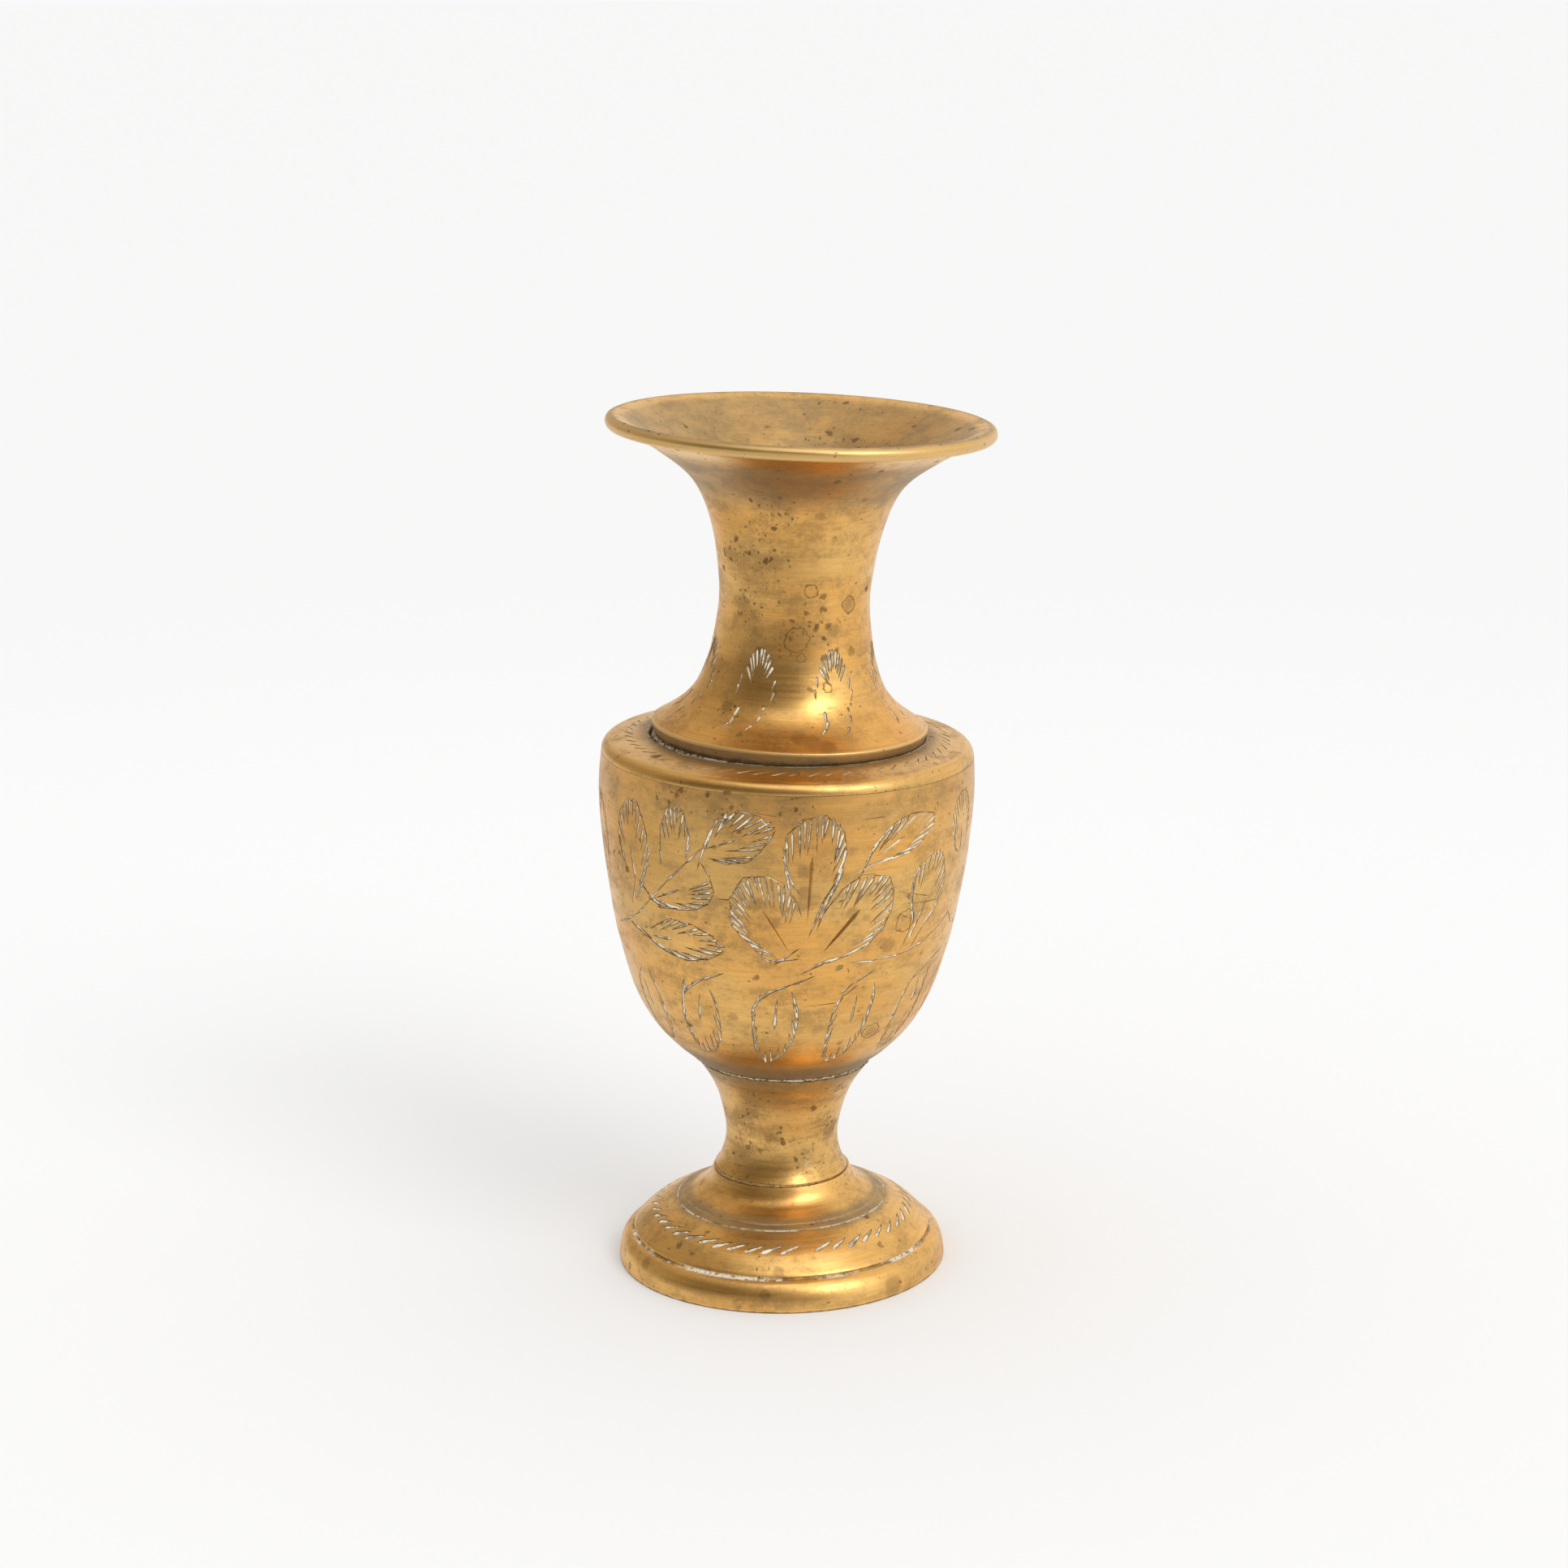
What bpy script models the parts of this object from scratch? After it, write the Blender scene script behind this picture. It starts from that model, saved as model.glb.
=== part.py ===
"""Engraved brass vase: five turned castings joined by four rings of solder.

From the floor up: a hollow foot, a tubular stem, a bowl, a shoulder plate that
closes the bowl, and a flared neck with a bell-shaped skirt and a beaded lip.
Each casting is located by the one below it (tenon, boss, register or step) and
a ring of solder fills the seam that shows outside. The bowl leans a little on
the stem, and the neck leans a little more on the bowl, as assembled by hand.

All lengths below are millimetres. Every profile is a list of (radius, height)
points, turned about the axis of its own casting.
"""

import math

import bmesh
import bpy
from mathutils import Matrix, Vector

MM = 0.001
SEGMENTS = 44

GAP = 0.3
SOLDER = 0.3
WEDGE_SOLDER = 0.75
SHELL = 1.8
THIN_SHELL = 1.6

# Where one casting stands on the next, and how far each leans towards +X.
STEM_JOINT_Z = 16.2
BOWL_JOINT_Z = 36.5
PLATE_JOINT_Z = 91.25
NECK_JOINT_Z = 93.5
BOWL_LEAN = 1.55
BOWL_SHIFT = 0.2
NECK_LEAN = 2.6
NECK_SHIFT = 0.2

# Foot
FOOT_RING_OUTER = 27.9
FOOT_RING_INNER = 25.7
FOOT_HOLE = 8.4
FOOT_TOP = 11.9

# Stem
STEM_BORE = 6.2
TENON = 8.0
TENON_BOTTOM = 11.4
STEM_FOOT = 11.4
STEM_TOP = 14.7
SOCKET = 9.4
SOCKET_DEPTH = 4.2

# Bowl
BOSS = 8.9
BOSS_LENGTH = 3.6
BOWL_FOOT = 16.1
BOWL_FLOOR_Z = 41.6
BOWL_LIP = 32.1

# Shoulder plate
PLATE_EDGE = 32.0
PLATE_CORNER = 1.1
REGISTER_DROP = 1.6
PLATE_THROAT = 12.0
COLLAR = 13.6
COLLAR_TOP = 97.2
STEP_RADIUS = 20.9
RECESS = 0.85
RECESS_DEPTH = 1.1
STEP_HEIGHT = 0.9

# Neck
SKIRT = 23.6
SKIRT_BAND = 1.8
LIP_BEAD = 1.25
LIP_RADIUS = 31.7
LIP_Z = 147.45


# ---------------------------------------------------------------- outlines

def smooth_through(stations, steps):
    """Points of a smooth curve through the stations (Catmull-Rom spline)."""
    first = 2 * Vector(stations[0]) - Vector(stations[1])
    last = 2 * Vector(stations[-1]) - Vector(stations[-2])
    knots = [first] + [Vector(s) for s in stations] + [last]
    points = []
    for i in range(1, len(knots) - 2):
        a, b, c, d = knots[i - 1:i + 3]
        for k in range(steps):
            t = k / steps
            points.append(0.5 * (2 * b + (c - a) * t + (2 * a - 5 * b + 4 * c - d) * t ** 2
                                 + (3 * b - a - 3 * c + d) * t ** 3))
    points.append(knots[-2])
    return [(p.x, p.y) for p in points]


def arc(centre, radius, start, end, steps):
    """Points of an arc; angles in degrees from the outward direction."""
    points = []
    for k in range(steps + 1):
        angle = math.radians(start + (end - start) * k / steps)
        points.append((centre[0] + radius * math.cos(angle), centre[1] + radius * math.sin(angle)))
    return points


def inside_of(points, thickness):
    """The same curve moved inwards by a wall thickness, in reverse order."""
    moved = []
    for i, (r, z) in enumerate(points):
        before = Vector(points[max(i - 1, 0)])
        after = Vector(points[min(i + 1, len(points) - 1)])
        along = (after - before).normalized()
        moved.append((r - thickness * along.y, z + thickness * along.x))
    return moved[::-1]


def groove(points, height, width, depth):
    """Cut a small V groove into a rising outline at the given height."""
    lower = max(i for i, p in enumerate(points) if p[1] < height - width / 2)
    upper = min(i for i, p in enumerate(points) if p[1] > height + width / 2)
    low, high = Vector(points[lower]), Vector(points[upper])

    def at(z):
        place = low.lerp(high, (z - low.y) / (high.y - low.y))
        return (place.x, place.y)

    bottom = at(height)
    cut = [at(height - width / 2), (bottom[0] - depth, height), at(height + width / 2)]
    return points[:lower + 1] + cut + points[upper:]


# ---------------------------------------------------------------- castings

def foot_outline():
    """Hollow foot: a flat resting ring, an upright edge with a rolled top, and a cone."""
    edge = [(FOOT_RING_OUTER, 0)] + smooth_through([(28.4, 0.5), (28.3, 2.2), (27.7, 3.8),
                                                    (26.8, 4.8)], 2)
    cone = smooth_through([(26.1, 5.7), (24.3, 7.5), (22.9, 8.6), (20.2, 10.1), (17.2, 11.5),
                           (14.4, 13.0), (12.7, 14.6), (FOOT_TOP, STEM_JOINT_Z)], 2)
    outside = groove(edge + cone, 5.25, 0.7, 0.5)
    hollow = smooth_through([(FOOT_RING_INNER, 0), (25.8, 2.4), (24.4, 4.6), (21.6, 7.0),
                             (17.6, 9.3), (FOOT_HOLE, 12.4)], 2)
    return outside + [(FOOT_HOLE, STEM_JOINT_Z)] + hollow[::-1]


def stem_outline():
    """Waisted tube with a tenon below and a socket for the bowl above."""
    base = STEM_JOINT_Z + 2 * GAP + SOLDER
    outside = smooth_through([(STEM_FOOT, base), (10.6, 18.6), (9.75, 22.6), (10.25, 26.5),
                              (11.4, 30.5), (12.8, 33.7), (STEM_TOP, BOWL_JOINT_Z)], 2)
    top = [(SOCKET, BOWL_JOINT_Z), (SOCKET, BOWL_JOINT_Z - SOCKET_DEPTH),
           (STEM_BORE, BOWL_JOINT_Z - SOCKET_DEPTH)]
    bottom = [(STEM_BORE, TENON_BOTTOM), (TENON, TENON_BOTTOM), (TENON, base)]
    return outside + top + bottom


def bowl_outline():
    """Deep tapering bowl, open at the top, with a boss that enters the stem."""
    base = BOWL_JOINT_Z + 2 * GAP + WEDGE_SOLDER
    lip = PLATE_JOINT_Z
    side = smooth_through([(BOWL_FOOT, base), (19.3, 40.6), (22.8, 44.5), (26.1, 50.5),
                           (28.6, 58.5), (30.2, 66.5), (31.4, 74.5), (32.2, 83.0),
                           (BOWL_LIP, lip)], 2)
    inside = [p for p in inside_of(side, SHELL) if BOWL_FLOOR_Z + 3 < p[1] < lip - 0.5]
    floor = [(16.0, BOWL_FLOOR_Z + 0.8), (12.0, BOWL_FLOOR_Z), (0, BOWL_FLOOR_Z)]
    boss_end = BOWL_JOINT_Z - BOSS_LENGTH
    boss = [(0, boss_end), (BOSS - 0.5, boss_end), (BOSS, boss_end + 0.5), (BOSS, base)]
    return side + [(BOWL_LIP - SHELL, lip)] + inside + floor + boss


def plate_outline():
    """Shoulder plate: round corner, sloping top, seam recess, step and throat collar."""
    base = PLATE_JOINT_Z + 2 * GAP + SOLDER
    corner = arc((PLATE_EDGE - PLATE_CORNER, base + 0.1), PLATE_CORNER, 0, 80, 4)
    step_top = NECK_JOINT_Z + STEP_HEIGHT
    top = [(SKIRT + RECESS, NECK_JOINT_Z + RECESS_DEPTH), (SKIRT + RECESS, NECK_JOINT_Z),
           (STEP_RADIUS, NECK_JOINT_Z), (STEP_RADIUS, step_top),
           (COLLAR, step_top), (COLLAR, COLLAR_TOP), (PLATE_THROAT, COLLAR_TOP)]
    under = base - REGISTER_DROP
    register = BOWL_LIP - SHELL - GAP - 0.1
    below = [(PLATE_THROAT, under), (register, under), (register, base)]
    return [(PLATE_EDGE, base)] + corner + top + below


def neck_outline():
    """Bell skirt, narrow neck, wide flare and a round bead at the lip."""
    base = NECK_JOINT_Z + 2 * GAP + WEDGE_SOLDER
    band_top = base + SKIRT_BAND
    bell = smooth_through([(SKIRT - 0.3, band_top + 0.2), (19.5, 99.5), (16.05, 103.5),
                           (13.8, 110.5), (12.85, 118.5), (13.65, 126.6), (16.2, 135.5),
                           (19.8, 140.3), (24.8, 143.7), (30.7, 146.3)], 2)
    bead = arc((LIP_RADIUS, LIP_Z), LIP_BEAD, -70, 130, 6)
    inside = [p for p in inside_of(bell, THIN_SHELL) if p[1] > base + 1.2 and p[0] < 30]
    skirt_inner = SKIRT - SHELL
    band = [(SKIRT - 0.2, base), (SKIRT, base + 0.2), (SKIRT, band_top)]
    return band + bell + bead + inside + [(skirt_inner, band_top - 0.6), (skirt_inner, base)]


# ---------------------------------------------------------------- meshes

def turn(name, outline, place, finish, stand):
    """Turn a closed outline about the stand's axis; place() positions each point."""
    mesh = bmesh.new()
    rings = []
    for index, (radius, height) in enumerate(outline):
        steps = SEGMENTS if radius > 1e-6 else 1
        ring = []
        for k in range(steps):
            angle = math.tau * k / steps
            point = Vector((radius * math.cos(angle), radius * math.sin(angle), height))
            ring.append(mesh.verts.new(place(index, point) * MM))
        rings.append(ring)
    for i, ring in enumerate(rings):
        join_rings(mesh, ring, rings[(i + 1) % len(rings)])
    bmesh.ops.recalc_face_normals(mesh, faces=mesh.faces[:])
    data = bpy.data.meshes.new(name)
    mesh.to_mesh(data)
    mesh.free()
    data.shade_smooth()
    data.set_sharp_from_angle(angle=math.radians(32))
    data.materials.append(finish)
    body = bpy.data.objects.new(name, data)
    bpy.context.scene.collection.objects.link(body)
    body.parent = stand
    return body


def join_rings(mesh, ring, following):
    """Faces between two rings of vertices, either of which may be one point."""
    if len(ring) == 1 and len(following) == 1:
        return
    for k in range(SEGMENTS):
        n = (k + 1) % SEGMENTS
        if len(ring) == 1:
            mesh.faces.new((ring[0], following[n], following[k]))
        elif len(following) == 1:
            mesh.faces.new((ring[k], ring[n], following[0]))
        else:
            mesh.faces.new((ring[k], ring[n], following[n], following[k]))


def casting(name, outline, joint_z, finish, stand):
    """One turned casting; its stand is the empty at its joint, where it leans."""
    return turn(name, outline, lambda _i, p: p - Vector((0, 0, joint_z)), finish, stand)


def solder_ring(name, inner, outer, joint_z, thickness, finish, stand, stand_z, tilt=None):
    """Ring of solder on a seat at joint_z.

    Its lower face follows the casting below; with a tilt (a matrix in the frame of
    the casting below) its upper face follows the leaning casting above.
    """
    low = joint_z + GAP
    high = low + thickness
    outline = [(inner, low), (outer - 0.1, low), (outer, (low + high) / 2),
               (outer - 0.1, high), (inner, high)]
    share = [0, 0, 0.5, 1, 1]
    seat = Vector((0, 0, joint_z))
    foot = Vector((0, 0, stand_z))

    def place(index, point):
        leaning = seat + tilt @ (point - seat) if tilt else point
        return point.lerp(leaning, share[index]) - foot

    return turn(name, outline, place, finish, stand)


def metal(name, colour, roughness):
    """Plain metallic finish."""
    finish = bpy.data.materials.new(name)
    finish.use_nodes = True
    shader = finish.node_tree.nodes["Principled BSDF"]
    shader.inputs["Base Color"].default_value = (*colour, 1)
    shader.inputs["Metallic"].default_value = 1.0
    shader.inputs["Roughness"].default_value = roughness
    return finish


def stand_at(name, location, lean, parent=None):
    """Empty on a joint's centre, leaning towards +X by an angle in degrees."""
    stand = bpy.data.objects.new(name, None)
    bpy.context.scene.collection.objects.link(stand)
    stand.empty_display_size = 0.01
    stand.parent = parent
    stand.location = Vector(location) * MM
    stand.rotation_euler = (0, math.radians(lean), 0)
    return stand


def tilt_of(stand):
    """How a stand lies on its parent, as a matrix in millimetres."""
    turned = Matrix.Rotation(stand.rotation_euler.y, 3, "Y").to_4x4()
    return Matrix.Translation((stand.location.x / MM, 0, 0)) @ turned


def centre_over_origin(base, bodies):
    """Move the base sideways so that the whole assembly's box stands over the origin."""
    bpy.context.view_layer.update()
    points = [body.matrix_world @ v.co for body in bodies for v in body.data.vertices]
    for axis in (0, 1):
        middle = (min(p[axis] for p in points) + max(p[axis] for p in points)) / 2
        base.location[axis] -= middle
    bpy.context.view_layer.update()


def build():
    """The whole vase."""
    brass = {name: metal(f"{name}_brass", (0.62, 0.42, 0.16), 0.34)
             for name in ("foot", "stem", "bowl", "shoulder", "neck")}
    solder = {name: metal(f"{name}_solder", (0.42, 0.38, 0.30), 0.5)
              for name in ("foot", "bowl", "shoulder", "neck")}

    ground = stand_at("ground_stand", (0, 0, 0), 0)
    bowl_stand = stand_at("bowl_stand", (BOWL_SHIFT, 0, BOWL_JOINT_Z), BOWL_LEAN, ground)
    rise = NECK_JOINT_Z - BOWL_JOINT_Z
    neck_stand = stand_at("neck_stand", (NECK_SHIFT, 0, rise), NECK_LEAN - BOWL_LEAN, bowl_stand)

    bodies = [
        casting("foot", foot_outline(), 0, brass["foot"], ground),
        casting("stem", stem_outline(), 0, brass["stem"], ground),
        casting("bowl", bowl_outline(), BOWL_JOINT_Z, brass["bowl"], bowl_stand),
        casting("shoulder", plate_outline(), BOWL_JOINT_Z, brass["shoulder"], bowl_stand),
        casting("neck", neck_outline(), NECK_JOINT_Z, brass["neck"], neck_stand),
        solder_ring("foot_solder_seam", TENON + 1.2, STEM_FOOT + 0.1, STEM_JOINT_Z,
                    SOLDER, solder["foot"], ground, 0),
        solder_ring("bowl_solder_seam", SOCKET + 1.0, STEM_TOP + 0.3, BOWL_JOINT_Z,
                    WEDGE_SOLDER, solder["bowl"], ground, 0, tilt_of(bowl_stand)),
        solder_ring("shoulder_solder_seam", BOWL_LIP - SHELL + 0.2, BOWL_LIP - 0.1,
                    PLATE_JOINT_Z, SOLDER, solder["shoulder"], bowl_stand, BOWL_JOINT_Z),
        solder_ring("neck_solder_seam", SKIRT - SHELL + 0.2, SKIRT + 0.1, NECK_JOINT_Z,
                    WEDGE_SOLDER, solder["neck"], bowl_stand, BOWL_JOINT_Z, tilt_of(neck_stand)),
    ]
    centre_over_origin(ground, bodies)


for old in list(bpy.data.objects):
    bpy.data.objects.remove(old, do_unlink=True)
build()
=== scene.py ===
import math
import random
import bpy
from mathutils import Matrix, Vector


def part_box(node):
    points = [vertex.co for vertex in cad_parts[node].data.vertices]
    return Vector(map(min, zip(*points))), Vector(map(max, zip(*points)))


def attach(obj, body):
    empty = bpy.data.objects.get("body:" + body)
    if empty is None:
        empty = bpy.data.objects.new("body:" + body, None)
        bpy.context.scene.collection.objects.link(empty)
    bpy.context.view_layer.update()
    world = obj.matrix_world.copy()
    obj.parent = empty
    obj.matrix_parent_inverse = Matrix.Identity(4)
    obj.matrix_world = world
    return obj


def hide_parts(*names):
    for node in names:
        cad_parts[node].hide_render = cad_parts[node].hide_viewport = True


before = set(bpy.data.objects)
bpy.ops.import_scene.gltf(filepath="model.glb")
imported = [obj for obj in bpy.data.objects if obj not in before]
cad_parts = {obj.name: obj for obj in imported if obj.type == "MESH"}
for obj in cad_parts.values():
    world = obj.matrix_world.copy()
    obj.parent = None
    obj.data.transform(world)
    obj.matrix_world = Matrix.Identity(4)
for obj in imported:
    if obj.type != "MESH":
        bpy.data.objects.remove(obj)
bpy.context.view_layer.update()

from types import SimpleNamespace

import bpy
import numpy as np
from mathutils import Matrix, Vector, kdtree
from mathutils.geometry import delaunay_2d_cdt

# The vase is drawn in millimetres, each casting upright in its own frame.
MM = 0.001
COLUMNS = 192
FOOT_X = (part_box("foot")[0].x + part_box("foot")[1].x) / 2 / MM

# The heights that the castings lean about, in degrees from upright towards +X.
STEM_JOINT_Z = 16.2
BOWL_JOINT_Z = 36.5
NECK_JOINT_Z = 93.5
STEM_LEAN = 1.5
BOWL_LEAN = 1.55
NECK_LEAN = 2.6
SIDE_SHIFT = 0.2


def tilt(degrees, x, z):
    """Lean towards +X about a joint at (x, z)."""
    turned = Matrix.Rotation(math.radians(degrees), 4, "Y")
    return Matrix.Translation((x, 0, z)) @ turned @ Matrix.Translation((0, 0, -z))


UPRIGHT = Matrix.Translation((FOOT_X, 0, 0))
ON_FOOT = UPRIGHT @ tilt(STEM_LEAN, 0, STEM_JOINT_Z)
ON_STEM = UPRIGHT @ tilt(BOWL_LEAN, SIDE_SHIFT, BOWL_JOINT_Z)
ON_BOWL = ON_STEM @ tilt(NECK_LEAN - BOWL_LEAN, SIDE_SHIFT, NECK_JOINT_Z)


# ------------------------------------------------------------------ outlines

def smooth_through(stations, steps=8):
    """Points of a smooth curve through (radius, height) stations."""
    first = 2 * Vector(stations[0]) - Vector(stations[1])
    last = 2 * Vector(stations[-1]) - Vector(stations[-2])
    knots = [first] + [Vector(s) for s in stations] + [last]
    points = []
    for i in range(1, len(knots) - 2):
        a, b, c, d = knots[i - 1:i + 3]
        for k in range(steps):
            t = k / steps
            points.append(0.5 * (2 * b + (c - a) * t + (2 * a - 5 * b + 4 * c - d) * t ** 2
                                 + (3 * b - a - 3 * c + d) * t ** 3))
    points.append(knots[-2])
    return [(p.x, p.y) for p in points]


def arc(centre, radius, start, end, steps=8):
    """Points of an arc; angles in degrees from the outward direction."""
    turns = [math.radians(start + (end - start) * k / steps) for k in range(steps + 1)]
    return [(centre[0] + radius * math.cos(a), centre[1] + radius * math.sin(a)) for a in turns]


def inside_of(points, thickness):
    """The same curve moved inwards by a wall thickness, in reverse order."""
    moved = []
    for i, (r, z) in enumerate(points):
        before = Vector(points[max(i - 1, 0)])
        after = Vector(points[min(i + 1, len(points) - 1)])
        along = (after - before).normalized()
        moved.append((r - thickness * along.y, z + thickness * along.x))
    return moved[::-1]


class Turned:
    """A turned wall: an outer outline that carries engraving, and an inner outline.

    dents gives the slight out-of-round of a hand-finished casting, in millimetres.
    """

    def __init__(self, name, frame_matrix, outer, inner, dents=0.05, lines=()):
        self.name = name
        self.frame = frame_matrix
        self.inner = inner
        self.dents = dents
        self.lines = lines
        self.r, self.z = np.array(outer).T
        steps = np.hypot(np.diff(self.r), np.diff(self.z))
        self.s = np.concatenate([[0.0], np.cumsum(steps)])
        self.length = self.s[-1]
        self.seed = sum(map(ord, name))
        self.seam = 0.0
        self.creases = ()

    def curve(self, s):
        """How convex (positive) or concave (negative) the outline is, about -1 to 1."""
        def heading(low, high):
            rise = np.interp(high, self.s, self.z) - np.interp(low, self.s, self.z)
            run = np.interp(high, self.s, self.r) - np.interp(low, self.s, self.r)
            return np.arctan2(rise, run)
        low, high = np.clip(s - 0.5, 0, self.length), np.clip(s + 0.5, 0, self.length)
        bend = heading(s, high + 1e-6) - heading(low - 1e-6, s)
        bend = (bend + math.pi) % math.tau - math.pi
        bend = np.where((s < 0.3) | (s > self.length - 0.3), 0.0, bend)
        return np.clip(bend * 1.6, -1, 1)

    def crease(self, s):
        """Where dirt gathers: 1 in the middle of a groove or at a joint."""
        dirt = np.zeros_like(s)
        for place, width, amount in self.creases:
            dirt = np.maximum(dirt, amount * np.exp(-((s - place) / (1.5 * width)) ** 2))
        return dirt

    def spot(self, degrees, height, inward=0.0):
        """Place on the wall, or a little inside it, in metres in the shared frame."""
        radius = float(self.radius(self.at_height(height))) - inward
        theta = math.radians(270 + degrees)
        point = Vector((radius * math.cos(theta), radius * math.sin(theta), height))
        return (self.frame @ point) * MM

    def turn(self, degrees):
        """Angle on the unrolled wall for an angle from the front, positive to the right."""
        return math.radians((270 + degrees - self.seam) % 360)

    def radius(self, s):
        return np.interp(s, self.s, self.r)

    def at_height(self, z):
        """Distance along a rising outline at a height."""
        return float(np.interp(z, self.z, self.s))

    def shape(self, theta, s):
        """Points of the wall before engraving."""
        theta = theta + math.radians(self.seam)
        radius = np.interp(s, self.s, self.r)
        height = np.interp(s, self.s, self.z)
        k = self.seed
        wave = (np.cos(2 * theta + k) * np.cos(s * 0.11 + k)
                + 0.6 * np.cos(3 * theta + 2 * k + s * 0.17) + 0.4 * np.cos(5 * theta - s * 0.31))
        radius = radius + self.dents * wave
        for place, width, depth in self.lines:
            radius = radius - depth * np.exp(-((s - place) / width) ** 2)
        return np.stack([radius * np.cos(theta), radius * np.sin(theta), height], -1)

    def normals(self, theta, s):
        """Outward normals of the wall before engraving."""
        low, high = np.clip(s - 0.05, 0, self.length), np.clip(s + 0.05, 0, self.length)
        around = self.shape(theta + 0.002, s) - self.shape(theta - 0.002, s)
        along = self.shape(theta, high) - self.shape(theta, low)
        normal = np.cross(around, along)
        return normal / np.linalg.norm(normal, axis=-1, keepdims=True)


# ------------------------------------------------------------------ engraving

# Along a cut: where the tail ends and the belly is, as shares of its length. TAIL_SHARE is
# the tail's share of the full width, and SLOPE is depth over half width.
TAIL = 0.3
BELLY = 0.82
TAIL_SHARE = 0.6
SLOPE = 0.75

# Clear mm round a cut without grid points, the depth that counts as cut, and how far inside
# a leaf's outline its hatching starts.
CLEAR = 0.25
FACETED = 0.004
NOSE_INSET = 0.15


class Stroke:
    """One push of the graver: a V cut that deepens from its tail to its nose."""

    def __init__(self, wall, start, end, width, burnished=False):
        """start and end are (angle in radians, distance along the outline)."""
        self.start = start
        self.burnished = burnished
        radius = float(wall.radius((start[1] + end[1]) / 2))
        self.radius = radius
        self.vector = Vector(((end[0] - start[0]) * radius, end[1] - start[1]))
        self.length = self.vector.length
        self.along = self.vector.normalized()
        self.across = Vector((-self.along.y, self.along.x))
        self.half = width / 2

    def place(self, t, side):
        """Point of the wall (angle, distance) at t along the cut and side across it."""
        p = self.along * (t * self.length) + self.across * (side * self.half)
        return (self.start[0] + p.x / self.radius, self.start[1] + p.y)

    def points(self):
        """Outline of the cut, then its bottom edge."""
        ring = [(0, 0), (TAIL, TAIL_SHARE), (BELLY, 1), (1, 0), (BELLY, -1),
                (TAIL, -TAIL_SHARE)]
        return [self.place(*p) for p in ring] + [self.place(TAIL, 0), self.place(BELLY, 0)]

    EDGES = [(0, 1), (1, 2), (2, 3), (3, 4), (4, 5), (5, 0), (0, 6), (6, 7), (7, 3)]

    def local(self, theta, s):
        x = (theta - self.start[0]) * self.radius
        y = s - self.start[1]
        along = (x * self.along.x + y * self.along.y) / self.length
        return along, x * self.across.x + y * self.across.y

    def depth(self, theta, s):
        along, aside = self.local(theta, s)
        if not 0 < along < 1:
            return 0.0
        half = self.half * float(np.interp(along, (0, TAIL, BELLY, 1), (0, TAIL_SHARE, 1, 0)))
        if half < 1e-6:
            return 0.0
        return SLOPE * half * max(0.0, 1 - abs(aside) / half)


def skin(wall, strokes, rows):
    """Triangulate the unrolled wall around the strokes, and give each vertex its depth."""
    reference = float(wall.radius(wall.length / 2))
    tree = kdtree.KDTree(len(strokes) * 3 or 1)
    for i, stroke in enumerate(strokes):
        for j, t in enumerate((0.1, 0.5, 0.9)):
            theta, s = stroke.place(t, 0)
            tree.insert((theta * reference, s, 0), i * 3 + j)
    tree.balance()
    reach = max([st.length * reference / st.radius for st in strokes], default=0) / 2 + 0.5

    def near(theta, s):
        return {index // 3 for _, index, _ in tree.find_range((theta * reference, s, 0), reach)}

    coords, edges = [], []
    for s in rows:
        for k in range(COLUMNS + 1):
            theta = math.tau * k / COLUMNS
            border = k in (0, COLUMNS) or s in (rows[0], rows[-1])
            if not border and strokes and crowded(strokes, near(theta, s), theta, s):
                continue
            coords.append((theta * reference, float(s)))
    for stroke in strokes:
        base = len(coords)
        coords.extend((theta * reference, s) for theta, s in stroke.points())
        edges.extend((base + a, base + b) for a, b in Stroke.EDGES)
    result = delaunay_2d_cdt([Vector(c) for c in coords], edges, [], 0, 1e-4)
    verts = np.array([tuple(v) for v in result[0]])
    theta, s = verts[:, 0] / reference, verts[:, 1]
    depth, smooth = np.zeros(len(verts)), np.zeros(len(verts))
    for i in range(len(verts) if strokes else 0):
        cuts = [(strokes[j].depth(theta[i], s[i]), strokes[j].burnished)
                for j in near(theta[i], s[i])]
        depth[i], smooth[i] = max(cuts, default=(0, False))
    return theta, s, depth, smooth, result[2]


def crowded(strokes, nearby, theta, s):
    """Whether a plain grid point is too close to a cut."""
    for j in nearby:
        along, aside = strokes[j].local(theta, s)
        margin = CLEAR / strokes[j].length
        if -margin < along < 1 + margin and abs(aside) < strokes[j].half + CLEAR:
            return True
    return False


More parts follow.
